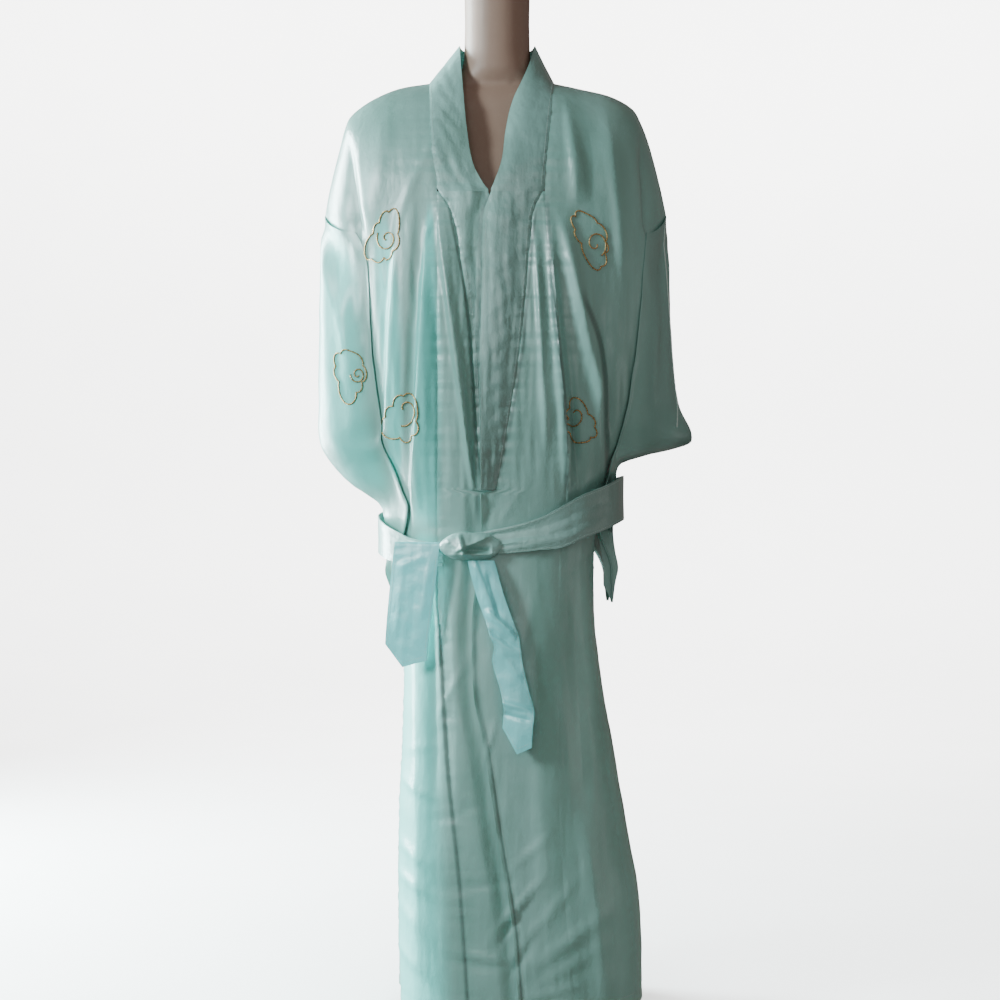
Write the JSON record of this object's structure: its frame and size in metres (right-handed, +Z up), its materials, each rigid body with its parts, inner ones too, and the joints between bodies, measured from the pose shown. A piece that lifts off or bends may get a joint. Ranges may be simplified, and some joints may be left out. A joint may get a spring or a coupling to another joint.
{
  "type": "satin kimono robe on a limbless dress form",
  "caption": "Mint satin kimono robe with wide sleeves and a tie belt, worn by a limbless dress form on a round foot.",
  "frame": {"origin": "on the floor, under the middle of the round foot", "axes": "+Z up along the stand's pole; -Y is the robe's front; +X is the viewer's right"},
  "size_m": [0.5297, 0.3181, 1.455],
  "materials": {
    "satin": "satin",
    "form": "smooth, matt",
    "stand": "powder coat"
  },
  "bodies": {
    "root": {"back": "satin", "front_left": "satin", "front_right": "satin", "okumi_left": "satin", "okumi_right": "satin", "sleeve_left": "satin", "sleeve_right": "satin", "collar_neck": "satin", "collar_end_left": "satin", "collar_end_right": "satin", "belt_waist": "satin", "belt_knot": "satin", "belt_tail_left": "satin", "belt_tail_right": "satin", "form_torso": "form", "form_pole": "stand", "form_base": "stand"}
  },
  "joints": []
}
